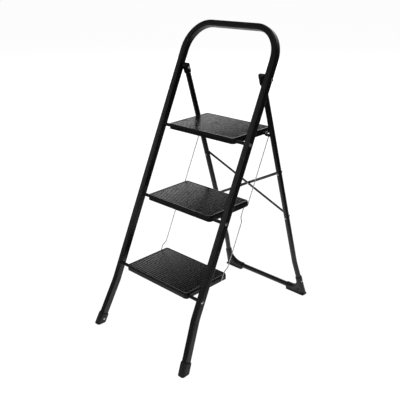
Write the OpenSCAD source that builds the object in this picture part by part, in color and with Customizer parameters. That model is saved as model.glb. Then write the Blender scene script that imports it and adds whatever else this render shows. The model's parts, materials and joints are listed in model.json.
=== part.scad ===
// Folding steel step ladder: three treads, a hand hoop over the platform and a swing-out rear frame.
// It is drawn open. X is to the climber's right, +Y towards the rear frame, +Z up, in millimetres.
// The origin is on the floor, under the middle of the footprint.

/* [Front frame] */
// Lean of the side rails from the vertical, degrees
rail_lean = 26.4; // [25.6:0.2:27.2]
// Distance between the centre lines of the two rails
rail_spacing = 428; // [424:1:440]
// Width of the rail tube, across the ladder
rail_w = 22; // [21:0.5:23]
// Depth of the rail tube, front to back
rail_d = 26; // [26:0.5:28]
// Corner radius of the rail tube
rail_r = 4.5; // [3:0.5:5]
// Wall of the rail tube
rail_wall = 1.2; // [1:0.1:1.5]
// Length along a rail from the floor to the middle of the hoop's top bar
hoop_len = 1184; // [1170:2:1220]
// Bend radius of the hoop's corners, at the middle of the tube
hoop_r = 105; // [90:5:120]
// Length along a rail, from the floor, below which it flares outwards
rail_flare_len = 191; // [180:1:200]
// Angle of the outward flare, degrees
rail_flare = 6.2; // [5:0.2:7]

/* [Steps] */
// Length along the rail between two steps
step_pitch = 272; // [268:1:276]
// Length along the rail from the floor to the bottom step's axle
first_step = 249; // [245:1:255]
// Width of a step
step_w = 322; // [316:1:322]
// Depth of a step, front to back
step_d = 200; // [196:1:202]
// Height of a step's folded edge, with its mat
step_h = 20; // [19:0.5:22]
// How far the step's front edge stands ahead of its axle
step_nose = 13.4; // [12.5:0.1:14]
// Height of the tread's top above its axle
tread_rise = 11.5; // [11:0.1:12]
// Radius of a step's corners, seen from above
step_corner = 11; // [9:0.5:12]
// Thickness of the steel sheet of a step
sheet = 1.2; // [1:0.1:1.5]
// Thickness of the ribbed mat, with its ribs
mat_t = 3.5; // [3:0.1:4]
// Distance between the ribs of a mat
rib_pitch = 9.5; // [8:0.5:12]

/* [Rear frame] */
// Lean of the rear legs from the vertical, degrees
rear_lean = 14.4; // [13.6:0.2:15]
// Distance between the centre lines of the rear legs
rear_spacing = 368; // [366:1:370]
// Diameter of the rear tube
rear_tube = 20; // [19:0.5:20]
// Bend radius of the rear frame's lower corners, at the middle of the tube
rear_bend = 50; // [44:1:60]
// Angle of the rear legs' outward flare near the floor, degrees
rear_flare = 5.8; // [5:0.2:6.2]
// Height of the rear crossbar's centre above the floor
crossbar_h = 15; // [14.5:0.5:17]
// Length along the rail from the floor to the rear frame's pivot
pivot_len = 1016; // [1014:1:1020]
// How far behind the rail's centre line the pivot is
pivot_back = 8; // [7.5:0.1:8.2]

/* [Links] */
// Diameter of the link wire
wire_d = 3.2; // [3:0.1:3.4]
// Distance of the upper links' holes behind a step's axle
upper_hole = 172.5; // [171:0.5:173]
// Distance of the lower links' holes behind a step's axle
lower_hole = 153; // [150:0.5:155]
// How far the lower links' middle stands forward of their ends
joggle = 12; // [8:0.5:13]

/* [Hidden] */
$fn = 64;

left = -1;
right = 1;
far = 400;          // larger than any single piece cut by it
black = "#1c1c1e";
rubber = "#232325";
zinc = "#c9ccd0";

// Front frame
rail_x = rail_spacing / 2;
rail_bend = 150;
axle_back = -4;     // axles sit this far behind the rail's centre line
foot_wall = 3.5;
foot_len = 45;
sole = 5;
foot_rivet_len = 22;
blank = 30;         // what a leg or shoe is drawn too long by before the floor trims it
over = 2;           // how far a hole or hollow runs past the face it opens in

// Axles and their sleeves
axle_r = 4;
sleeve_r = 6;
fit = 0.1;
gap = 0.3;
pin_head = [5.5, 2.4];      // radius and height of a domed head
pin_tail = [4.5, 1.2];
foot_rivet_head = [4, 1.6];
foot_rivet_tail = [3, 1.2];

// How bends meet straights
bend_swell = 0.06;
lap = 0.4;

// Step sheet metal, all measured from the step's axle
sheet_top = tread_rise - mat_t;
flange_low = tread_rise - step_h;
sheet_bend = 3;
mat_inset = 1.5;
mat_base = 2.2;
mat_rim = 6;
rib_w = 5;
rib_h = mat_t - mat_base - 0.2;
rib_end = 2;        // gap between a rib's end and the rim
peg_r = 3;
peg_head_r = 4.5;
peg_head = 1.5;
peg_across = [-0.4, 0, 0.4];    // shares of the step's width and depth
peg_along = [0.2, 0.8];

// Links
wire_r = wire_d / 2;
wire_bend = 3.2;
hole_low = -5;      // height of the link holes relative to the axle
hole_fit = 0.15;
link_x = step_w / 2 + gap + wire_bend;
stub_in = 5;
clinch = [1.5, 1.4];    // length of the flattened end of a wire, and how far it stands out
joggle_start = 34;
joggle_len = 18;
joggle_r = 12;

// Platform catch
pin_back = 146;
pin_low = 0;
pin_r = 3.5;
pin_end = 170;
hook_x = 166.5;
hook_t = 3;
hook_fit = 0.3;
hook_lip = 4;
hook_drop = 16;
strap_drop = 7;
exit_slope = 55;    // direction in which the pin leaves the hook, above the horizontal

// Rear frame
rear_x = rear_spacing / 2;
rear_r = rear_tube / 2;
rear_wall = 1.2;
rear_bend_flare = 150;
rear_flare_len = 148;
tube_top = 8;
cap_half = 12;
cap_corner = 9;
cap_low = 20;
cap_top = 17;
cap_dome = 15;      // radius of the cap's rounded top, seen from the side
pivot_r = 3;
run_fit = 0.05;
boot_wall = 3;
boot_in = 75;
boot_up = 68;
boot_rivet_up = 50;
boot_rivet_set = 0.7;
boot_lip = 1;
boot_corner = 5;
boot_step = 1;
spacer_r = 9;

// Cross braces, measured down the rear legs from the pivot
brace_top = 368;
brace_low = 563;
brace_w = 10;
brace_t = 3;
brace_clear = 0.2;
brace_flat = 40;    // half-length of the joggled brace's raised middle
rivet_r = 2;
brace_rivet_head = [4.5, 1.8];

// Derived places
step_lens = [for (i = [0:2]) first_step + i * step_pitch];
pivot_y = rail_y(pivot_len, pivot_back);
pivot_z = rail_z(pivot_len, pivot_back);
leg_len = (pivot_z - crossbar_h) / cos(rear_lean);
crossbar_y = pivot_y + (pivot_z - crossbar_h) * tan(rear_lean);
front_edge = -(rail_d / 2 + foot_wall) / cos(rail_lean);
rear_edge = crossbar_y + rear_r + boot_wall + boot_lip;
y_mid = (front_edge + rear_edge) / 2;

// The lower end of the flare bend, from the point where the leg starts to flare
function bend_out(r, a) = r * (1 - cos(a));
function bend_down(r, a) = r * sin(a);
function rail_y(len, back) = len * sin(rail_lean) + back * cos(rail_lean);
function rail_z(len, back) = len * cos(rail_lean) - back * sin(rail_lean);

// Rear frame corner, in the plane of the rear frame
flare_top = -(leg_len - rear_flare_len);
flare_x = rear_x + bend_out(rear_bend_flare, rear_flare);
flare_z = flare_top - bend_down(rear_bend_flare, rear_flare);
corner_x = flare_x + (flare_z + leg_len) * tan(rear_flare);
corner_t = rear_bend * tan((90 + rear_flare) / 2);
flared_run = (flare_z + leg_len) / cos(rear_flare) - corner_t;

// Where the platform's pin lies in the plane frame of the rear legs
pin_dy = rail_y(step_lens[2], axle_back) + pin_back - pivot_y;
pin_dz = rail_z(step_lens[2], axle_back) + pin_low - pivot_z;
pin_n = pin_dy * cos(rear_lean) + pin_dz * sin(rear_lean);
pin_z = -pin_dy * sin(rear_lean) + pin_dz * cos(rear_lean);

// ---------- frames of reference ----------

// Local Z runs up the rail from the floor, local Y is square to the rail, to the rear
module on_rail() { translate([0, -y_mid, 0]) rotate([-rail_lean, 0, 0]) children(); }

// Local Z runs up the rear leg from the pivot, local Y is square to it, to the rear
module on_rear() { translate([0, pivot_y - y_mid, pivot_z]) rotate([rear_lean, 0, 0]) children(); }

// Level, with its origin on the axle of the step at this length up the rail
module on_step(len) {
    translate([0, rail_y(len, axle_back) - y_mid, rail_z(len, axle_back)]) children();
}

// The right piece as drawn, or its mirror image for the left
module sided(side) { mirror([side < 0 ? 1 : 0, 0, 0]) children(); }

module both() { for (side = [left, right]) sided(side) children(); }

// Takes away all that is below this height in the whole model's frame
module cut_below(z) {
    difference() {
        children();
        translate([-far, -2 * far, z - far]) cube([2 * far, 4 * far, far]);
    }
}

// ---------- shapes that repeat ----------

module rounded_rect(w, d, r) {
    square([w - 2 * r, d], center = true);
    square([w, d - 2 * r], center = true);
    for (x = [-1, 1], y = [-1, 1]) translate([x * (w / 2 - r), y * (d / 2 - r)]) circle(r);
}

// Sweeps a section along local Z. Each item of the path is a straight [length], a bend
// [radius, angle] towards local X, or a bend [radius, angle, roll] in a plane rolled about Z.
// Bends are drawn $swell wider than the straights, whose ends run a little way into them
module follow(path, i = 0) {
    if (i < len(path)) {
        item = path[i];
        if (len(item) == 1) {
            low = i == 0 ? 0 : lap;
            high = i == len(path) - 1 ? 0 : lap;
            translate([0, 0, -low]) let($swell = 0) linear_extrude(item[0] + low + high) children();
            translate([0, 0, item[0]]) follow(path, i + 1) children();
        } else {
            r = item[0];
            a = abs(item[1]);
            side = sign(item[1]);
            rotate([0, 0, len(item) == 3 ? item[2] : 0]) {
                mirror([side < 0 ? 1 : 0, 0, 0]) translate([r, 0, 0]) rotate([90, 0, 0])
                    rotate([0, 0, 180 - a]) let($swell = bend_swell) rotate_extrude(angle = a)
                        translate([r, 0]) children();
                translate([side * r, 0, 0]) rotate([0, item[1], 0]) translate([-side * r, 0, 0])
                    follow(path, i + 1) children();
            }
        }
    }
}

module round_section(r) { circle(r + $swell); }

module rail_section(w, d, r) { rounded_rect(w + 2 * $swell, d + 2 * $swell, r + $swell); }

// Local Z runs up the flared end of the right rail, from the end of its bend
module on_rail_flare() {
    translate([rail_x + bend_out(rail_bend, rail_flare), 0,
               rail_flare_len - bend_down(rail_bend, rail_flare)])
        rotate([0, -rail_flare, 0]) children();
}
flare_origin = rail_flare_len - bend_down(rail_bend, rail_flare);

// A round shank or hole along X
module shank(x0, x1, r) { translate([x0, 0, 0]) rotate([0, 90, 0]) cylinder(h = x1 - x0, r = r); }

// Half of a low dome's section, for a head given as [radius, height]
module dome_section(head) {
    sphere_r = (head[0] * head[0] + head[1] * head[1]) / (2 * head[1]);
    intersection() {
        translate([0, head[1] - sphere_r]) circle(sphere_r);
        square([2 * head[0], 2 * head[1]]);
    }
}

// A pin or rivet along X between two faces, with a domed head on each
module rivet(x0, x1, r, head0, head1) {
    rotate([0, 90, 0]) rotate_extrude() {
        translate([0, x0]) square([r, x1 - x0]);
        translate([0, x0]) mirror([0, 1]) dome_section(head0);
        translate([0, x1]) dome_section(head1);
    }
}

// ---------- front frame ----------

// Half of the front frame, from the middle of the hoop down to the floor and a little beyond
function hoop_path(beyond) = [
    [rail_x - hoop_r], [hoop_r, 90], [hoop_len - hoop_r - rail_flare_len],
    [rail_bend, -rail_flare], [flare_origin / cos(rail_flare) + beyond]
];

module hoop(beyond) {
    both() translate([0, 0, hoop_len]) rotate([0, 90, 0]) follow(hoop_path(beyond)) children();
}

module front_frame_tube() {
    color(black) difference() {
        cut_below(sole) on_rail() difference() {
            hoop(blank) rail_section(rail_w, rail_d, rail_r);
            hoop(blank + over) rail_section(rail_w - 2 * rail_wall, rail_d - 2 * rail_wall,
                                  rail_r - rail_wall);
        }
        for (len = step_lens) on_step(len) shank(-far, far, axle_r + fit);
        on_rail() translate([0, pivot_back, pivot_len]) shank(-far, far, pivot_r + fit);
        on_rail() both() on_rail_flare() foot_rivet_place() shank(0, rail_w / 2, rivet_r);
    }
}

// The rivet goes in from the inner side of the leg
module foot_rivet_place() {
    translate([-rail_w / 2 - foot_wall, 0, (foot_rivet_len - flare_origin) / cos(rail_flare)])
        children();
}

module front_foot(side) {
    z_top = (foot_len - flare_origin) / cos(rail_flare);
    color(rubber) cut_below(0) sided(side) difference() {
        on_rail() on_rail_flare() translate([0, 0, z_top - foot_len - blank])
            linear_extrude(foot_len + blank)
                rounded_rect(rail_w + 2 * foot_wall, rail_d + 2 * foot_wall, rail_r + foot_wall);
        cut_below(sole - fit) on_rail() on_rail_flare() translate([0, 0, z_top - foot_len - blank])
            linear_extrude(foot_len + blank + over)
                rounded_rect(rail_w + 2 * fit, rail_d + 2 * fit, rail_r + fit);
        on_rail() on_rail_flare() foot_rivet_place() shank(-over, rail_w / 2, rivet_r);
    }
}

module front_foot_left() { front_foot(left); }
module front_foot_right() { front_foot(right); }

module front_foot_rivets() {
    wall_in = foot_wall + rail_wall;
    color(zinc) both() on_rail() on_rail_flare() foot_rivet_place()
        rivet(0, wall_in + fit, rivet_r - fit, foot_rivet_head, foot_rivet_tail);
}

// ---------- axles, sleeves and pivots ----------

module step_axle(len) {
    half = rail_x + rail_w / 2;
    color(zinc) on_step(len) rivet(-half, half, axle_r, pin_head, pin_head);
}

module top_step_axle() { step_axle(step_lens[2]); }
module middle_step_axle() { step_axle(step_lens[1]); }
module bottom_step_axle() { step_axle(step_lens[0]); }

module axle_sleeves(len) {
    color(black) on_step(len) both() difference() {
        shank(step_w / 2 + gap, rail_x - rail_w / 2 - fit, sleeve_r);
        shank(step_w / 2 - over, rail_x, axle_r + fit);
    }
}

module top_axle_sleeves() { axle_sleeves(step_lens[2]); }
module middle_axle_sleeves() { axle_sleeves(step_lens[1]); }
module bottom_axle_sleeves() { axle_sleeves(step_lens[0]); }

// The pin goes through the rail, the spacer, the cap and the rear leg
module pivot_pin(side) {
    inner = rear_x - cap_half - gap;
    outer = rail_x + rail_w / 2;
    color(zinc) sided(side) on_rail() translate([0, pivot_back, pivot_len])
        rivet(inner, outer, pivot_r, pin_head, pin_head);
}

module pivot_pin_left() { pivot_pin(left); }
module pivot_pin_right() { pivot_pin(right); }

module pivot_spacer(side) {
    color(rubber) sided(side) on_rail() translate([0, pivot_back, pivot_len]) difference() {
        shank(rear_x + cap_half + gap, rail_x - rail_w / 2 - fit, spacer_r);
        shank(rear_x, rail_x, pivot_r + fit);
    }
}

module pivot_spacer_left() { pivot_spacer(left); }
module pivot_spacer_right() { pivot_spacer(right); }

// ---------- rear frame ----------

// Half of the rear frame, from the middle of the crossbar up to a height above the pivot
function rear_path(high) = [
    [corner_x - corner_t], [rear_bend, -90 - rear_flare], [flared_run],
    [rear_bend_flare, rear_flare], [high - flare_top]
];

module rear_u(high) {
    both() translate([0, 0, -leg_len]) rotate([0, 90, 0]) follow(rear_path(high)) children();
}

module rear_frame_tube() {
    color(black) on_rear() difference() {
        rear_u(tube_top) round_section(rear_r);
        rear_u(tube_top + over) round_section(rear_r - rear_wall);
        shank(-far, far, pivot_r + run_fit);
        brace_ends() rivet_hole();
        both() boot_rivet_place() shank(-rear_r, over, rivet_r);
    }
}

// The boot's rivet goes in from the outer side of the flared leg
module boot_rivet_place() {
    up = boot_rivet_up;
    translate([corner_x - up * tan(rear_flare), 0, -leg_len + up]) rotate([0, -rear_flare, 0])
        translate([rear_r + boot_wall, 0, 0]) children();
}

// A block under the crossbar, from just inside the boot's inner end outwards, up to a height
module boot_block(end, half, top, corner) {
    start = corner_x - boot_in + boot_step;
    translate([(start + end) / 2, crossbar_y - y_mid, -sole]) linear_extrude(sole + top)
        rounded_rect(end - start, 2 * half, corner);
}

// Fills the corner outside the bend, along the leg's and the crossbar's own lines
module boot_heel(boot_r) {
    r = boot_r - boot_step / 2;
    back = crossbar_y - y_mid + boot_r + boot_lip - boot_step / 2;
    intersection() {
        on_rear() translate([corner_x, 0, -leg_len]) {
            rotate([0, -rear_flare, 0]) translate([0, 0, -rear_tube])
                cylinder(h = rear_tube + corner_t + over, r = r);
            shank(-corner_t - over, 0, r - boot_step / 2);
        }
        translate([0, back - 2 * far, -far]) cube([far, 2 * far, 2 * far]);
    }
}

module rear_foot(side) {
    boot_r = rear_r + boot_wall;
    boot_path = [
        [boot_in - corner_t], [rear_bend, -90 - rear_flare],
        [boot_up / cos(rear_flare) - corner_t]
    ];
    outer = corner_x + boot_r / cos(rear_flare) + boot_lip;
    color(rubber) cut_below(0) sided(side) difference() {
        union() {
            on_rear() translate([corner_x - boot_in, 0, -leg_len]) rotate([0, 90, 0])
                follow(boot_path) round_section(boot_r);
            boot_block(outer, boot_r + boot_lip, sole - fit, boot_corner);
            boot_block(corner_x, boot_r - boot_step, crossbar_h, boot_step);
            boot_heel(boot_r);
        }
        on_rear() {
            rear_u(0) round_section(rear_r + fit);
            boot_rivet_place() shank(-rear_r, over, rivet_r);
        }
    }
}

module rear_foot_left() { rear_foot(left); }
module rear_foot_right() { rear_foot(right); }

module rear_foot_rivets() {
    wall_in = boot_wall + rear_wall;
    color(zinc) on_rear() both() boot_rivet_place()
        rivet(-wall_in - boot_rivet_set, 0, rivet_r - fit, foot_rivet_tail, foot_rivet_head);
}

module rear_leg_cap(side) {
    color(black) sided(side) on_rear() difference() {
        intersection() {
            translate([rear_x, 0, -cap_low]) linear_extrude(cap_low + cap_top)
                rounded_rect(2 * cap_half, 2 * cap_half, cap_corner);
            union() {
                translate([rear_x, 0, cap_top - cap_dome]) shank(-rear_tube, rear_tube, cap_dome);
                translate([rear_x - rear_tube, -cap_half - over, -far])
                    cube([2 * rear_tube, 2 * (cap_half + over), far + cap_top - cap_dome]);
            }
        }
        translate([rear_x, 0, -cap_low - over])
            cylinder(h = cap_low + over + tube_top + fit, r = rear_r + fit);
        shank(0, far, pivot_r + run_fit);
    }
}

module rear_leg_cap_left() { rear_leg_cap(left); }
module rear_leg_cap_right() { rear_leg_cap(right); }

// Hook on the front of the rear leg that the platform's pin rests in
module catch_bracket(side) {
    front = pin_n - pin_r - hook_fit - hook_lip;
    strap_front = -rear_r - hook_t;
    hook_back = -rear_r + 1;
    seat = pin_r + hook_fit;
    color(black) sided(side) on_rear() difference() {
        union() {
            translate([hook_x, 0, 0]) rotate([90, 0, 90]) linear_extrude(hook_t) difference() {
                polygon([
                    [front, pin_z + hook_lip], [front, pin_z - hook_drop / 2],
                    [strap_front, pin_z - hook_drop], [hook_back, pin_z - hook_drop],
                    [hook_back, pin_z - strap_drop], [pin_n + seat + 1, pin_z + hook_lip]
                ]);
                translate([pin_n, pin_z]) {
                    circle(seat);
                    rotate(exit_slope) translate([0, -seat]) square([far, 2 * seat]);
                }
            }
            translate([hook_x, strap_front, pin_z - hook_drop])
                cube([rear_x - hook_x, hook_t + 2, hook_drop - strap_drop]);
        }
        translate([rear_x, 0, pin_z - far / 2]) cylinder(h = far, r = rear_r + run_fit);
    }
}

module catch_bracket_left() { catch_bracket(left); }
module catch_bracket_right() { catch_bracket(right); }

// ---------- cross braces ----------

brace_rise = brace_low - brace_top;
brace_len = norm([rear_spacing, brace_rise]);
brace_slope = atan2(brace_rise, rear_spacing);
brace_mid = -(brace_top + brace_low) / 2;
brace_seat = rear_r + brace_clear;
brace_step = brace_t + brace_clear;

module rivet_hole() { rotate([90, 0, 0]) cylinder(h = 4 * rear_tube, r = rivet_r + fit, center = true); }

module brace_ends() {
    for (x = [-rear_x, rear_x], z = [brace_top, brace_low]) translate([x, 0, -z]) children();
}

module brace_outline() {
    square([brace_len, brace_w], center = true);
    for (x = [-1, 1]) translate([x * brace_len / 2, 0]) circle(brace_w / 2);
}

// Local X runs along the brace and local Y to the rear, with the origin at its middle
module brace_place(slope) {
    on_rear() translate([0, 0, brace_mid]) rotate([0, slope, 0]) children();
}

module brace_holes() {
    for (x = [-brace_len / 2, 0, brace_len / 2]) translate([x, 0, 0]) rivet_hole();
}

module cross_brace_flat() {
    color(black) brace_place(brace_slope) difference() {
        translate([0, brace_seat + brace_t, 0]) rotate([90, 0, 0])
            linear_extrude(brace_t) brace_outline();
        brace_holes();
    }
}

// This brace steps back in its middle to pass behind the flat one
module cross_brace_joggled() {
    half = brace_len / 2 + brace_w;
    ramp = [brace_flat, brace_flat + 2 * brace_t];
    low = brace_seat;
    high = brace_seat + brace_step;
    edge = [
        [-half, low], [-ramp[1], low], [-ramp[0], high], [ramp[0], high], [ramp[1], low], [half, low],
        [half, low + brace_t], [ramp[1], low + brace_t], [ramp[0], high + brace_t],
        [-ramp[0], high + brace_t], [-ramp[1], low + brace_t], [-half, low + brace_t]
    ];
    color(black) brace_place(-brace_slope) difference() {
        intersection() {
            translate([0, 0, -brace_w]) linear_extrude(2 * brace_w) polygon(edge);
            translate([0, 2 * rear_tube, 0]) rotate([90, 0, 0])
                linear_extrude(2 * rear_tube) brace_outline();
        }
        brace_holes();
    }
}

// A rivet along Y, from the front of a rear leg or brace to the back of a brace
module brace_rivet(y0, y1) {
    rotate([0, 0, 90]) rivet(y0, y1, rivet_r, brace_rivet_head, brace_rivet_head);
}

module brace_end_rivets() {
    color(zinc) on_rear() brace_ends() brace_rivet(-rear_r, brace_seat + brace_t);
}

module brace_centre_rivet() {
    color(zinc) on_rear() translate([0, 0, brace_mid])
        brace_rivet(brace_seat, brace_seat + brace_step + brace_t);
}

// ---------- steps ----------

// Half of the folded edge's section: sheet from the middle out, round bend, flange down
module edge_section() {
    inner = sheet_bend - sheet;
    translate([0, sheet_top - sheet]) square([step_corner - sheet_bend, sheet]);
    translate([step_corner - sheet_bend, sheet_top - sheet_bend]) intersection() {
        difference() { circle(sheet_bend); circle(inner); }
        square(sheet_bend);
    }
    translate([step_corner - sheet, flange_low])
        square([sheet, sheet_top - sheet_bend - flange_low]);
}

// Folded tray of a step, with its front edge at -step_nose and the axle at the origin
module tray() {
    x_in = step_w / 2 - step_corner;
    y_in = step_d / 2 - step_corner;
    translate([0, step_d / 2 - step_nose, 0]) {
        translate([-x_in, -y_in, sheet_top - sheet]) cube([2 * x_in, 2 * y_in, sheet]);
        for (x = [0, 1], y = [0, 1]) mirror([x, 0, 0]) mirror([0, y, 0])
            translate([x_in, y_in, 0]) rotate_extrude(angle = 90) edge_section();
        for (x = [0, 1]) mirror([x, 0, 0])
            translate([x_in, y_in, 0]) rotate([90, 0, 0]) linear_extrude(2 * y_in) edge_section();
        for (y = [0, 1]) mirror([0, y, 0])
            translate([-x_in, y_in, 0]) rotate([90, 0, 90]) linear_extrude(2 * x_in) edge_section();
    }
}

module peg_places() {
    for (x = peg_across, y = peg_along)
        translate([x * step_w, y * step_d - step_nose, 0]) children();
}

module step_pan(len, holes, hole_r) {
    color(black) on_step(len) difference() {
        tray();
        shank(-step_w, step_w, axle_r + fit);
        for (i = [0 : len(holes) - 1])
            translate([0, holes[i][0], holes[i][1]]) shank(-step_w, step_w, hole_r[i]);
        peg_places() cylinder(h = far, r = peg_r + fit, center = true);
    }
}

upper_holes = [[upper_hole, hole_low]];
lower_holes = [[lower_hole, hole_low]];
link_hole_r = wire_r + hole_fit;

module top_step_pan() {
    step_pan(step_lens[2], concat(upper_holes, [[pin_back, pin_low]]), [link_hole_r, pin_r + fit]);
}
module middle_step_pan() {
    step_pan(step_lens[1], concat(upper_holes, lower_holes), [link_hole_r, link_hole_r]);
}
module bottom_step_pan() { step_pan(step_lens[0], lower_holes, [link_hole_r]); }

// Bearing tube that the axle runs in, between the tray's side flanges
module hinge_tube(len) {
    half = step_w / 2 - sheet;
    color(black) on_step(len) difference() {
        shank(-half, half, sleeve_r);
        shank(-step_w, step_w, axle_r + fit);
    }
}

module top_step_hinge_tube() { hinge_tube(step_lens[2]); }
module middle_step_hinge_tube() { hinge_tube(step_lens[1]); }
module bottom_step_hinge_tube() { hinge_tube(step_lens[0]); }

// Ribbed mat with a raised rim, held by pegs moulded on its underside
module step_mat(len) {
    w = step_w - 2 * mat_inset;
    d = step_d - 2 * mat_inset;
    r = step_corner - mat_inset;
    ribs = floor((d - 2 * mat_rim - rib_w) / rib_pitch);
    color(rubber) on_step(len) translate([0, step_d / 2 - step_nose, 0]) {
        translate([0, 0, sheet_top]) linear_extrude(mat_base) rounded_rect(w, d, r);
        translate([0, 0, sheet_top + mat_base]) linear_extrude(mat_t - mat_base) difference() {
            rounded_rect(w, d, r);
            rounded_rect(w - 2 * mat_rim, d - 2 * mat_rim, r - mat_rim / 2);
        }
        for (i = [-ribs / 2 : ribs / 2])
            translate([-w / 2 + mat_rim + rib_end, i * rib_pitch - rib_w / 2, sheet_top + mat_base])
                cube([w - 2 * mat_rim - 2 * rib_end, rib_w, rib_h]);
        translate([0, step_nose - step_d / 2, 0]) peg_places() {
            translate([0, 0, sheet_top - sheet - fit]) cylinder(h = sheet + fit, r = peg_r);
            translate([0, 0, sheet_top - sheet - fit - peg_head]) cylinder(h = peg_head, r = peg_head_r);
        }
    }
}

module top_step_mat() { step_mat(step_lens[2]); }
module middle_step_mat() { step_mat(step_lens[1]); }
module bottom_step_mat() { step_mat(step_lens[0]); }

// Shouldered pins on the platform's side flanges, which rest in the catch brackets
module platform_catch_pins() {
    inner = step_w / 2 - sheet - fit;
    color(zinc) on_step(step_lens[2]) translate([0, pin_back, pin_low]) both()
        rivet(inner, pin_end, pin_r, pin_tail, pin_head);
}

// ---------- links ----------

// Where a link's upper end lies in the rail's frame, relative to the step's axle
function link_len(hole) = hole * sin(rail_lean) + hole_low * cos(rail_lean);
function link_back(hole) = hole * cos(rail_lean) - hole_low * sin(rail_lean);

// The wire's ends turn in to pass through the flange holes, each with a clinched head
stub = [link_x - wire_bend - (step_w / 2 - stub_in)];
turn = [wire_bend, 90];
straight_path = [stub, turn, [step_pitch - 2 * wire_bend], turn, stub];

// The lower links step forward below one end and back again above the other
joggle_angle = atan2(joggle, joggle_len);
joggle_cut = joggle_r * tan(joggle_angle / 2);
joggle_out = [joggle_start - wire_bend - joggle_cut];
joggle_slant = [norm([joggle, joggle_len]) - 2 * joggle_cut];
joggle_mid = [step_pitch - 2 * (joggle_start + joggle_len + joggle_cut)];
joggled_path = [
    stub, turn, joggle_out,
    [joggle_r, joggle_angle, 90], joggle_slant, [joggle_r, -joggle_angle], joggle_mid,
    [joggle_r, -joggle_angle], joggle_slant, [joggle_r, joggle_angle], joggle_out,
    [wire_bend, 90, -90], stub
];

// Local Z runs up the rail, with the origin on the link's upper hole
module on_link(len, hole) {
    on_rail() translate([0, axle_back + link_back(hole), len + link_len(hole)]) children();
}

module link(side, len, hole, path) {
    inner = step_w / 2 - stub_in;
    color(zinc) sided(side) on_link(len, hole) {
        translate([inner, 0, 0]) rotate([0, 90, 0]) follow(path) round_section(wire_r);
        for (z = [0, -step_pitch])
            translate([inner - clinch[0] / 3, 0, z]) shank(0, clinch[0], wire_r + clinch[1]);
    }
}

module upper_link_left() { link(left, step_lens[2], upper_hole, straight_path); }
module upper_link_right() { link(right, step_lens[2], upper_hole, straight_path); }
module lower_link_left() { link(left, step_lens[1], lower_hole, joggled_path); }
module lower_link_right() { link(right, step_lens[1], lower_hole, joggled_path); }

front_frame_tube();
front_foot_left();
front_foot_right();
front_foot_rivets();
top_step_axle();
middle_step_axle();
bottom_step_axle();
top_axle_sleeves();
middle_axle_sleeves();
bottom_axle_sleeves();
pivot_pin_left();
pivot_pin_right();
pivot_spacer_left();
pivot_spacer_right();
rear_frame_tube();
rear_foot_left();
rear_foot_right();
rear_foot_rivets();
rear_leg_cap_left();
rear_leg_cap_right();
catch_bracket_left();
catch_bracket_right();
cross_brace_flat();
cross_brace_joggled();
brace_end_rivets();
brace_centre_rivet();
top_step_pan();
top_step_hinge_tube();
top_step_mat();
platform_catch_pins();
middle_step_pan();
middle_step_hinge_tube();
middle_step_mat();
bottom_step_pan();
bottom_step_hinge_tube();
bottom_step_mat();
upper_link_left();
upper_link_right();
lower_link_left();
lower_link_right();
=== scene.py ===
"""Folding library step ladder: the looks, built round the CAD frame. Metres, in the CAD's own frame."""

import json
import math

import bmesh
import bpy
from mathutils import Matrix, Vector


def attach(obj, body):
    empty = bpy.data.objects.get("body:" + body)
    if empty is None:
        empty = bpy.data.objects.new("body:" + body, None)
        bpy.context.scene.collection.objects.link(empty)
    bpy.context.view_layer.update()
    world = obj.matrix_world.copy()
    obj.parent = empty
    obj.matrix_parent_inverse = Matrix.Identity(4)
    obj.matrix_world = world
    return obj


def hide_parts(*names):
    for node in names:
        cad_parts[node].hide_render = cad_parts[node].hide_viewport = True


MM = 0.001

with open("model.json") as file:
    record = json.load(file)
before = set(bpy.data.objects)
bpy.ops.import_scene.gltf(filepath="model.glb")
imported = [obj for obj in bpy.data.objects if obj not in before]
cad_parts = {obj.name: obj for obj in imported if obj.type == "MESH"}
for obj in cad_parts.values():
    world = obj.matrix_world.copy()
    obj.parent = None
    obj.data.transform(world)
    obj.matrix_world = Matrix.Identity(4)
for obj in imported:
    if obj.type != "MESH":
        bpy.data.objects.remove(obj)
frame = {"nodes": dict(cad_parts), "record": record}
NODES = frame["nodes"]
RECORD = frame["record"]
MOUNTS = {mount["name"]: Vector(mount["pos_m"]) for mount in RECORD["mounts"]}
BODY_OF = {node: body for body, nodes in RECORD["behaviour"]["bodies"].items() for node in nodes}
SLOT_OF = {part["node"]: part["material_slot"] for part in RECORD["subparts"]}
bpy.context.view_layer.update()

# The rails, as the CAD draws them: half width and half depth of the section, and its corner radius
RAIL_LEAN = math.radians(26.4)
RAIL_FLARE = math.radians(6.2)
RAIL_HALF = (11 * MM, 13 * MM)
RAIL_CORNER = 4.5 * MM

# The Y of the front feet
FLOOR_LINE = MOUNTS["front_foot_right_base"].y


# ---------- nodes of a material ----------

# The range that most of a noise's values lie in
NOISE_LOW = 0.3
NOISE_HIGH = 0.7


def new_material(name, metallic=0.0, specular=0.5):
    """A material with its constants set on the shader's own sockets."""
    material = bpy.data.materials.new(name)
    material.use_nodes = True
    shader = material.node_tree.nodes["Principled BSDF"]
    shader.inputs["Metallic"].default_value = metallic
    shader.inputs["Specular IOR Level"].default_value = specular
    return material, shader


def noise(tree, cells, detail=3.0, stretch=(1, 1, 1)):
    """Noise in the piece's own space, with so many cells a metre."""
    place = tree.nodes.new("ShaderNodeTexCoord")
    mapping = tree.nodes.new("ShaderNodeMapping")
    mapping.inputs["Scale"].default_value = stretch
    texture = tree.nodes.new("ShaderNodeTexNoise")
    texture.inputs["Scale"].default_value = cells
    texture.inputs["Detail"].default_value = detail
    tree.links.new(place.outputs["Object"], mapping.inputs["Vector"])
    tree.links.new(mapping.outputs["Vector"], texture.inputs["Vector"])
    return texture.outputs["Fac"]


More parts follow.
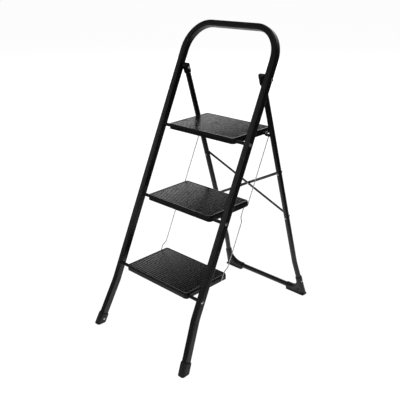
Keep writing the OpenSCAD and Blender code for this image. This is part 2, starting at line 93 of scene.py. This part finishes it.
def spread(tree, factor, low, high):
    """Maps the middle of a noise's range to low..high."""
    node = tree.nodes.new("ShaderNodeMapRange")
    node.inputs["From Min"].default_value = NOISE_LOW
    node.inputs["From Max"].default_value = NOISE_HIGH
    node.inputs["To Min"].default_value = low
    node.inputs["To Max"].default_value = high
    tree.links.new(factor, node.inputs["Value"])
    return node.outputs["Result"]


def shade(tree, factor, dark, light):
    """A colour between two, by a noise."""
    node = tree.nodes.new("ShaderNodeValToRGB")
    node.color_ramp.elements[0].position = NOISE_LOW
    node.color_ramp.elements[0].color = (*dark, 1)
    node.color_ramp.elements[1].position = NOISE_HIGH
    node.color_ramp.elements[1].color = (*light, 1)
    tree.links.new(factor, node.inputs["Fac"])
    return node.outputs["Color"]


def bump(tree, shader, height, relief, below=None):
    """A bump on the shader's normal, over another if there is one. relief is its distance and strength."""
    distance, strength = relief
    node = tree.nodes.new("ShaderNodeBump")
    node.inputs["Distance"].default_value = distance
    node.inputs["Strength"].default_value = strength
    tree.links.new(height, node.inputs["Height"])
    if below is not None:
        tree.links.new(below, node.inputs["Normal"])
    tree.links.new(node.outputs["Normal"], shader.inputs["Normal"])
    return node.outputs["Normal"]


# ---------- the materials ----------

# How fine the noises are, in cells a metre
COAT_CLOUDS = 9
COAT_GLOSS = 60
COAT_PEEL = 700
COAT_GRAIN = 2600
RUBBER_DUST = 6
RUBBER_GLOSS = 25
MAT_GRAIN = 1100
FOOT_GRAIN = 900
ZINC_CLOUDS = 90
ZINC_GLOSS = 400
ZINC_MARKS = 900
PLASTIC_CLOUDS = 30
PLASTIC_GLOSS = 150
PLASTIC_GRAIN = 1500

# Distance and strength of the bumps
COAT_PEEL_RELIEF = (0.08 * MM, 0.5)
COAT_GRAIN_RELIEF = (0.02 * MM, 0.4)
RUBBER_RELIEF = (0.006 * MM, 0.3)
ZINC_RELIEF = (0.03 * MM, 0.5)
PLASTIC_RELIEF = (0.03 * MM, 0.5)

# Where the floor of the grooves and the rib tops lie in a mat's height, pegs included,
# and how much rougher the grooves are
GROOVE_HEIGHT = 0.82
RIB_HEIGHT = 0.93
GROOVE_ROUGHER = 0.6

# How the noise of a wire's draw marks is stretched along it
ALONG_WIRE = (1, 1, 0.08)
ALL_ROUND = (1, 1, 1)


def powder_coat(name, dark, light, rough, specular):
    """Black powder coat: fine orange peel, slightly uneven gloss."""
    material, shader = new_material(name, specular=specular)
    tree = material.node_tree
    tree.links.new(shade(tree, noise(tree, COAT_CLOUDS), dark, light), shader.inputs["Base Color"])
    tree.links.new(spread(tree, noise(tree, COAT_GLOSS), *rough), shader.inputs["Roughness"])
    peel = bump(tree, shader, noise(tree, COAT_PEEL, 2), COAT_PEEL_RELIEF)
    bump(tree, shader, noise(tree, COAT_GRAIN, 1), COAT_GRAIN_RELIEF, peel)
    return material


def groove_roughness(tree):
    """What a mat's grooves add to its roughness, by the height in the mat. The rib tops add nothing."""
    place = tree.nodes.new("ShaderNodeTexCoord")
    split = tree.nodes.new("ShaderNodeSeparateXYZ")
    node = tree.nodes.new("ShaderNodeMapRange")
    node.inputs["From Min"].default_value = GROOVE_HEIGHT
    node.inputs["From Max"].default_value = RIB_HEIGHT
    node.inputs["To Min"].default_value = GROOVE_ROUGHER
    node.inputs["To Max"].default_value = 0
    tree.links.new(place.outputs["Generated"], split.inputs["Vector"])
    tree.links.new(split.outputs["Z"], node.inputs["Value"])
    return node.outputs["Result"]


def moulded_rubber(name, dark, light, rough, specular, grain, ribbed=False):
    """Rubber with a fine moulded grain and a little dust in it. Grooves between ribs are matt."""
    material, shader = new_material(name, specular=specular)
    tree = material.node_tree
    tree.links.new(shade(tree, noise(tree, RUBBER_DUST), dark, light), shader.inputs["Base Color"])
    roughness = spread(tree, noise(tree, RUBBER_GLOSS), *rough)
    if ribbed:
        add = tree.nodes.new("ShaderNodeMath")
        add.operation = "ADD"
        add.use_clamp = True
        tree.links.new(roughness, add.inputs[0])
        tree.links.new(groove_roughness(tree), add.inputs[1])
        roughness = add.outputs["Value"]
    tree.links.new(roughness, shader.inputs["Roughness"])
    bump(tree, shader, noise(tree, grain, 2), RUBBER_RELIEF)
    return material


def plated_steel(name, dark, light, rough, stretch):
    """Bright zinc plate over steel. On drawn wire its fine marks are stretched along the wire."""
    material, shader = new_material(name, metallic=1.0)
    tree = material.node_tree
    tree.links.new(shade(tree, noise(tree, ZINC_CLOUDS, 4), dark, light), shader.inputs["Base Color"])
    tree.links.new(spread(tree, noise(tree, ZINC_GLOSS), *rough), shader.inputs["Roughness"])
    bump(tree, shader, noise(tree, ZINC_MARKS, 2, stretch), ZINC_RELIEF)
    return material


def moulded_plastic(name, dark, light, rough, specular):
    """Moulded plastic with the tool's faint texture."""
    material, shader = new_material(name, specular=specular)
    tree = material.node_tree
    tree.links.new(shade(tree, noise(tree, PLASTIC_CLOUDS), dark, light), shader.inputs["Base Color"])
    tree.links.new(spread(tree, noise(tree, PLASTIC_GLOSS), *rough), shader.inputs["Roughness"])
    bump(tree, shader, noise(tree, PLASTIC_GRAIN, 2), PLASTIC_RELIEF)
    return material


def grey(value):
    """A grey with a trace of blue in it."""
    return (value, value, value * 1.03)


# Slot of the record, then its material: dark and light colour, range of roughness, specular level
MATERIALS = {
    "frame_paint": powder_coat("frame_powder_coat", grey(0.004), grey(0.008), (0.3, 0.4), 0.5),
    "step_paint": powder_coat("step_powder_coat", grey(0.004), grey(0.008), (0.34, 0.46), 0.5),
    "fitting_paint": powder_coat("fitting_powder_coat", grey(0.004), grey(0.007), (0.36, 0.48), 0.45),
    "mat_rubber": moulded_rubber("ribbed_rubber", grey(0.008), grey(0.014), (0.22, 0.31), 0.5,
                                 MAT_GRAIN, ribbed=True),
    "foot_rubber": moulded_rubber("foot_rubber", grey(0.006), grey(0.011), (0.44, 0.56), 0.45,
                                  FOOT_GRAIN),
    "zinc": plated_steel("bright_zinc", (0.55, 0.56, 0.58), (0.78, 0.79, 0.81), (0.2, 0.34), ALL_ROUND),
    "zinc_wire": plated_steel("zinc_wire", (0.8, 0.81, 0.83), (0.93, 0.94, 0.95), (0.3, 0.44), ALONG_WIRE),
    "cap_plastic": moulded_plastic("cap_plastic", grey(0.006), grey(0.01), (0.2, 0.3), 0.55),
    "spacer_plastic": moulded_plastic("spacer_plastic", grey(0.006), grey(0.01), (0.4, 0.5), 0.4),
}


def paint(obj, slot):
    """Gives a piece or a CAD node the material of a slot of the record."""
    obj.data.materials.clear()
    obj.data.materials.append(MATERIALS[slot])


# ---------- pieces ----------

# Corners closer than this are one corner, and an edge that turns less than FLAT_TURN degrees is no edge
SAME_PLACE = 0.002 * MM
FLAT_TURN = 0.5

# An edge of a CAD node that turns more than this, in degrees, is rounded
SHARP_TURN = 30

# Radius and segments of the rounding
CAP_EDGE = (1.6 * MM, 4)
BRACKET_EDGE = (0.4 * MM, 2)
MAT_EDGE = (0.45 * MM, 3)
BRACE_EDGE = (0.5 * MM, 3)

# Steps round one corner of the shoes' outline
CORNER_STEPS = 8


def finished(mesh, name, node):
    """Turns a bmesh into a piece that stands for a CAD node and rides with it."""
    data = bpy.data.meshes.new(name)
    bmesh.ops.recalc_face_normals(mesh, faces=mesh.faces)
    mesh.to_mesh(data)
    mesh.free()
    piece = bpy.data.objects.new(name, data)
    bpy.context.scene.collection.objects.link(piece)
    paint(piece, SLOT_OF[node])
    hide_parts(node)
    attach(piece, BODY_OF[node])
    return piece


def shade_smooth(piece, angle):
    """Smooth shading across edges that turn less than an angle in degrees, sharp across the others."""
    piece.data.shade_smooth()
    piece.data.set_sharp_from_angle(angle=math.radians(angle))


def softened(node, width, segments):
    """A CAD node with every sharp edge rounded, as a mould or a die leaves it."""
    mesh = bmesh.new()
    mesh.from_mesh(NODES[node].data)
    bmesh.ops.remove_doubles(mesh, verts=mesh.verts, dist=SAME_PLACE)
    flat = math.radians(FLAT_TURN)
    bmesh.ops.dissolve_limit(mesh, angle_limit=flat, verts=mesh.verts, edges=mesh.edges)
    sharp = [
        edge for edge in mesh.edges
        if len(edge.link_faces) == 2 and edge.calc_face_angle(0) > math.radians(SHARP_TURN)
    ]
    bmesh.ops.bevel(mesh, geom=sharp, offset=width, segments=segments, profile=0.5,
                    affect="EDGES", clamp_overlap=False)
    bmesh.ops.triangulate(mesh, faces=mesh.faces, quad_method="BEAUTY", ngon_method="BEAUTY")
    piece = finished(mesh, node + "_soft", node)
    shade_smooth(piece, SHARP_TURN + 5)


def rounded_outline(half_u, half_v, corner):
    """Points round a rectangle with round corners, in order."""
    points = []
    for quarter in range(4):
        cu = (half_u - corner) * (1 if quarter in (0, 3) else -1)
        cv = (half_v - corner) * (1 if quarter in (0, 1) else -1)
        for step in range(CORNER_STEPS + 1):
            a = math.pi / 2 * (quarter + step / CORNER_STEPS)
            points.append((cu + corner * math.cos(a), cv + corner * math.sin(a)))
    return points


def loft(mesh, rings, close_last=True):
    """Joins rings of points, each with the same count, into a skin, with a face over the first ring."""
    rows = [[mesh.verts.new(point) for point in ring] for ring in rings]
    count = len(rows[0])
    for low, high in zip(rows, rows[1:]):
        for i in range(count):
            j = (i + 1) % count
            mesh.faces.new((low[i], low[j], high[j], high[i]))
    mesh.faces.new(rows[0])
    if close_last:
        mesh.faces.new(rows[-1])


# Front shoe: the thickness of its wall and its sole, and its height up the leg. SHOE_FIT is how far its
# inside stands off the leg, and SHOE_INSET brings the whole skin a little inside the CAD's.
SHOE_WALL = 3.5 * MM
SHOE_TALL = 45 * MM
SHOE_SOLE = 5 * MM
SHOE_FIT = 0.1 * MM
SHOE_INSET = 0.05 * MM

# Each row is a share of the height, and the share of the wall that the outside stands off the leg there
SHOE_PROFILE = (
    (0.0, 0.55), (0.012, 0.8), (0.035, 0.97), (0.07, 1.0), (0.125, 1.0), (0.14, 0.82), (0.16, 0.82),
    (0.175, 1.0), (0.4, 1.0), (0.78, 1.0), (0.84, 0.97), (0.9, 0.85), (0.95, 0.6), (0.985, 0.28), (1.0, 0.12),
)


def rail_axes(side):
    """Across, front-to-back and up, for the flared foot of a rail."""
    up_in_rail = Vector((-side * math.sin(RAIL_FLARE), 0, math.cos(RAIL_FLARE)))
    across_in_rail = Vector((math.cos(RAIL_FLARE), 0, side * math.sin(RAIL_FLARE)))
    lean = Matrix.Rotation(-RAIL_LEAN, 3, "X")
    return lean @ across_in_rail, lean @ Vector((0, 1, 0)), lean @ up_in_rail


def shoe(side_name, side):
    """A front shoe: a moulded rubber cup with a rounded shoulder, a groove over the sole and a round edge."""
    across, back, up = rail_axes(side)
    foot = MOUNTS[f"front_foot_{side_name}_base"]

    def ring(share, stand_off):
        grown = stand_off - SHOE_INSET
        outline = rounded_outline(RAIL_HALF[0] + grown, RAIL_HALF[1] + grown, RAIL_CORNER + grown)
        points = []
        for u, v in outline:
            start = foot + across * u + back * v
            to_floor = -start.z / up.z
            points.append(start + up * ((1 - share) * to_floor + share * SHOE_TALL))
        return points

    mesh = bmesh.new()
    outside = [ring(share, stand * SHOE_WALL) for share, stand in SHOE_PROFILE]
    sole_share = SHOE_SOLE / SHOE_TALL
    inside = [ring(1.0, SHOE_FIT), ring(sole_share, SHOE_FIT)]
    loft(mesh, outside + inside)
    piece = finished(mesh, f"front_shoe_{side_name}", f"front_foot_{side_name}")
    shade_smooth(piece, 40)


def build_pieces():
    """The shoes anew, and the CAD's caps, hooks, mats and braces with rounded edges."""
    for side_name, side in (("left", -1), ("right", 1)):
        shoe(side_name, side)
        softened(f"rear_leg_cap_{side_name}", *CAP_EDGE)
        softened(f"catch_bracket_{side_name}", *BRACKET_EDGE)
    for step in ("top", "middle", "bottom"):
        softened(f"{step}_step_mat", *MAT_EDGE)
    for brace in ("flat", "joggled"):
        softened(f"cross_brace_{brace}", *BRACE_EDGE)


def paint_frame():
    """Gives every CAD node the material of its slot."""
    for node, obj in NODES.items():
        paint(obj, SLOT_OF[node])


# ---------- floor, lights and camera ----------

# The floor in metres: how far it is flat, the radius it turns up with, and the height of the wall.
# It lies a little under the feet, and has a small flat face in its middle.
FLOOR_REACH = 14
FLOOR_SWEEP = 4
WALL_HEIGHT = 16
FLOOR_MIDDLE = 0.01
FLOOR_DROP = 0.4 * MM
FLOOR_SIDES = 72
SWEEP_STEPS = 6

# It glows by itself, so that it is pale everywhere
FLOOR_GLOW = 0.95
FLOOR_CLOUDS = 2

# The point that the standing softboxes face, and the light of the empty studio
LIT_POINT = Vector((0, 0, 0.6))
WORLD_LIGHT = 0.05

# The photograph's camera, measured from the point on the floor between the front feet
CAMERA_PLACE = (1.5675, -1.1566, 1.3291)
CAMERA_RIGHT = Vector((0.6975, 0.7157, -0.0345))
CAMERA_BACK = Vector((0.6738, -0.6387, 0.3716))
CAMERA_SENSOR = 36
CAMERA_LENS = 57.65
CAMERA_SHIFT = -0.00125


def floor_profile():
    """Radius and height of the floor's rings, from the middle out and up the wall."""
    profile = [(FLOOR_MIDDLE, 0)]
    for step in range(SWEEP_STEPS + 1):
        a = math.pi / 2 * step / SWEEP_STEPS
        profile.append((FLOOR_REACH + FLOOR_SWEEP * math.sin(a), FLOOR_SWEEP * (1 - math.cos(a))))
    profile.append((FLOOR_REACH + FLOOR_SWEEP, WALL_HEIGHT))
    return profile


def stage_floor():
    """A wide pale floor that turns up into a wall all round, as a studio's does."""
    turns = [2 * math.pi * i / FLOOR_SIDES for i in range(FLOOR_SIDES)]
    rings = [[(r * math.cos(t), r * math.sin(t), z) for t in turns] for r, z in floor_profile()]
    mesh = bmesh.new()
    loft(mesh, rings, close_last=False)
    data = bpy.data.meshes.new("floor")
    mesh.to_mesh(data)
    mesh.free()
    data.shade_smooth()
    floor = bpy.data.objects.new("floor", data)
    bpy.context.scene.collection.objects.link(floor)
    floor.location.z = -FLOOR_DROP
    material, shader = new_material("pale_floor", specular=0.1)
    tree = material.node_tree
    paleness = shade(tree, noise(tree, FLOOR_CLOUDS), (0.48, 0.48, 0.48), (0.5, 0.5, 0.5))
    tree.links.new(paleness, shader.inputs["Base Color"])
    shader.inputs["Roughness"].default_value = 0.9
    shader.inputs["Emission Color"].default_value = (1, 1, 1, 1)
    shader.inputs["Emission Strength"].default_value = FLOOR_GLOW
    floor.visible_glossy = False
    floor.visible_diffuse = False
    data.materials.append(material)


def softbox(name, place, towards, size, brightness):
    """A softbox at a place, shining the opposite way to towards. brightness is its radiance."""
    data = bpy.data.lights.new(name, "AREA")
    data.shape = "RECTANGLE"
    data.size, data.size_y = size
    data.energy = math.pi * size[0] * size[1] * brightness
    light = bpy.data.objects.new(name, data)
    bpy.context.scene.collection.objects.link(light)
    light.location = place
    light.rotation_mode = "QUATERNION"
    light.rotation_quaternion = towards.to_track_quat("Z", "Y")
    light.visible_camera = False


def standing_softbox(name, azimuth, elevation, distance, size, brightness):
    """A softbox that faces the ladder, placed by its bearing from +X and its height angle."""
    bearing, height = math.radians(azimuth), math.radians(elevation)
    flat = math.cos(height)
    towards = Vector((math.cos(bearing) * flat, math.sin(bearing) * flat, math.sin(height)))
    softbox(name, LIT_POINT + distance * towards, towards, size, brightness)


def lights():
    """Bearing, height angle and distance of each softbox, then its size and brightness, and the world."""
    standing_softbox("overhead", 200, 80, 4.0, (4, 4), 0.45)
    standing_softbox("front_left", 226, 18, 4.2, (2.4, 2.0), 0.62)
    standing_softbox("beside_camera", 317, 16, 3.8, (1.6, 1.6), 2.4)
    standing_softbox("backdrop", 120, 21, 6.0, (7, 3.2), 0.33)
    standing_softbox("horizon", 118, 6.5, 5.6, (6.5, 2.3), 1.55)
    softbox("floor_card", Vector((-1.1, 1.0, 0.001)), Vector((0, 0, -1)), (3.2, 3.0), 0.75)
    world = bpy.data.worlds.new("studio")
    world.use_nodes = True
    background = world.node_tree.nodes["Background"]
    background.inputs["Color"].default_value = (1, 1, 1, 1)
    background.inputs["Strength"].default_value = WORLD_LIGHT
    bpy.context.scene.world = world
    bpy.context.scene.view_settings.view_transform = "Standard"


def camera():
    """The camera at the photograph's viewing angle."""
    data = bpy.data.cameras.new("camera")
    data.sensor_width = CAMERA_SENSOR
    data.lens = CAMERA_LENS
    data.shift_x = CAMERA_SHIFT
    cam = bpy.data.objects.new("camera", data)
    bpy.context.scene.collection.objects.link(cam)
    right = CAMERA_RIGHT.normalized()
    back = CAMERA_BACK.normalized()
    up = back.cross(right)
    x, y, z = CAMERA_PLACE
    turn = Matrix((right, up, back)).transposed().to_4x4()
    cam.matrix_world = Matrix.Translation((x, FLOOR_LINE + y, z)) @ turn
    bpy.context.scene.camera = cam


camera()
lights()
stage_floor()
paint_frame()
build_pieces()
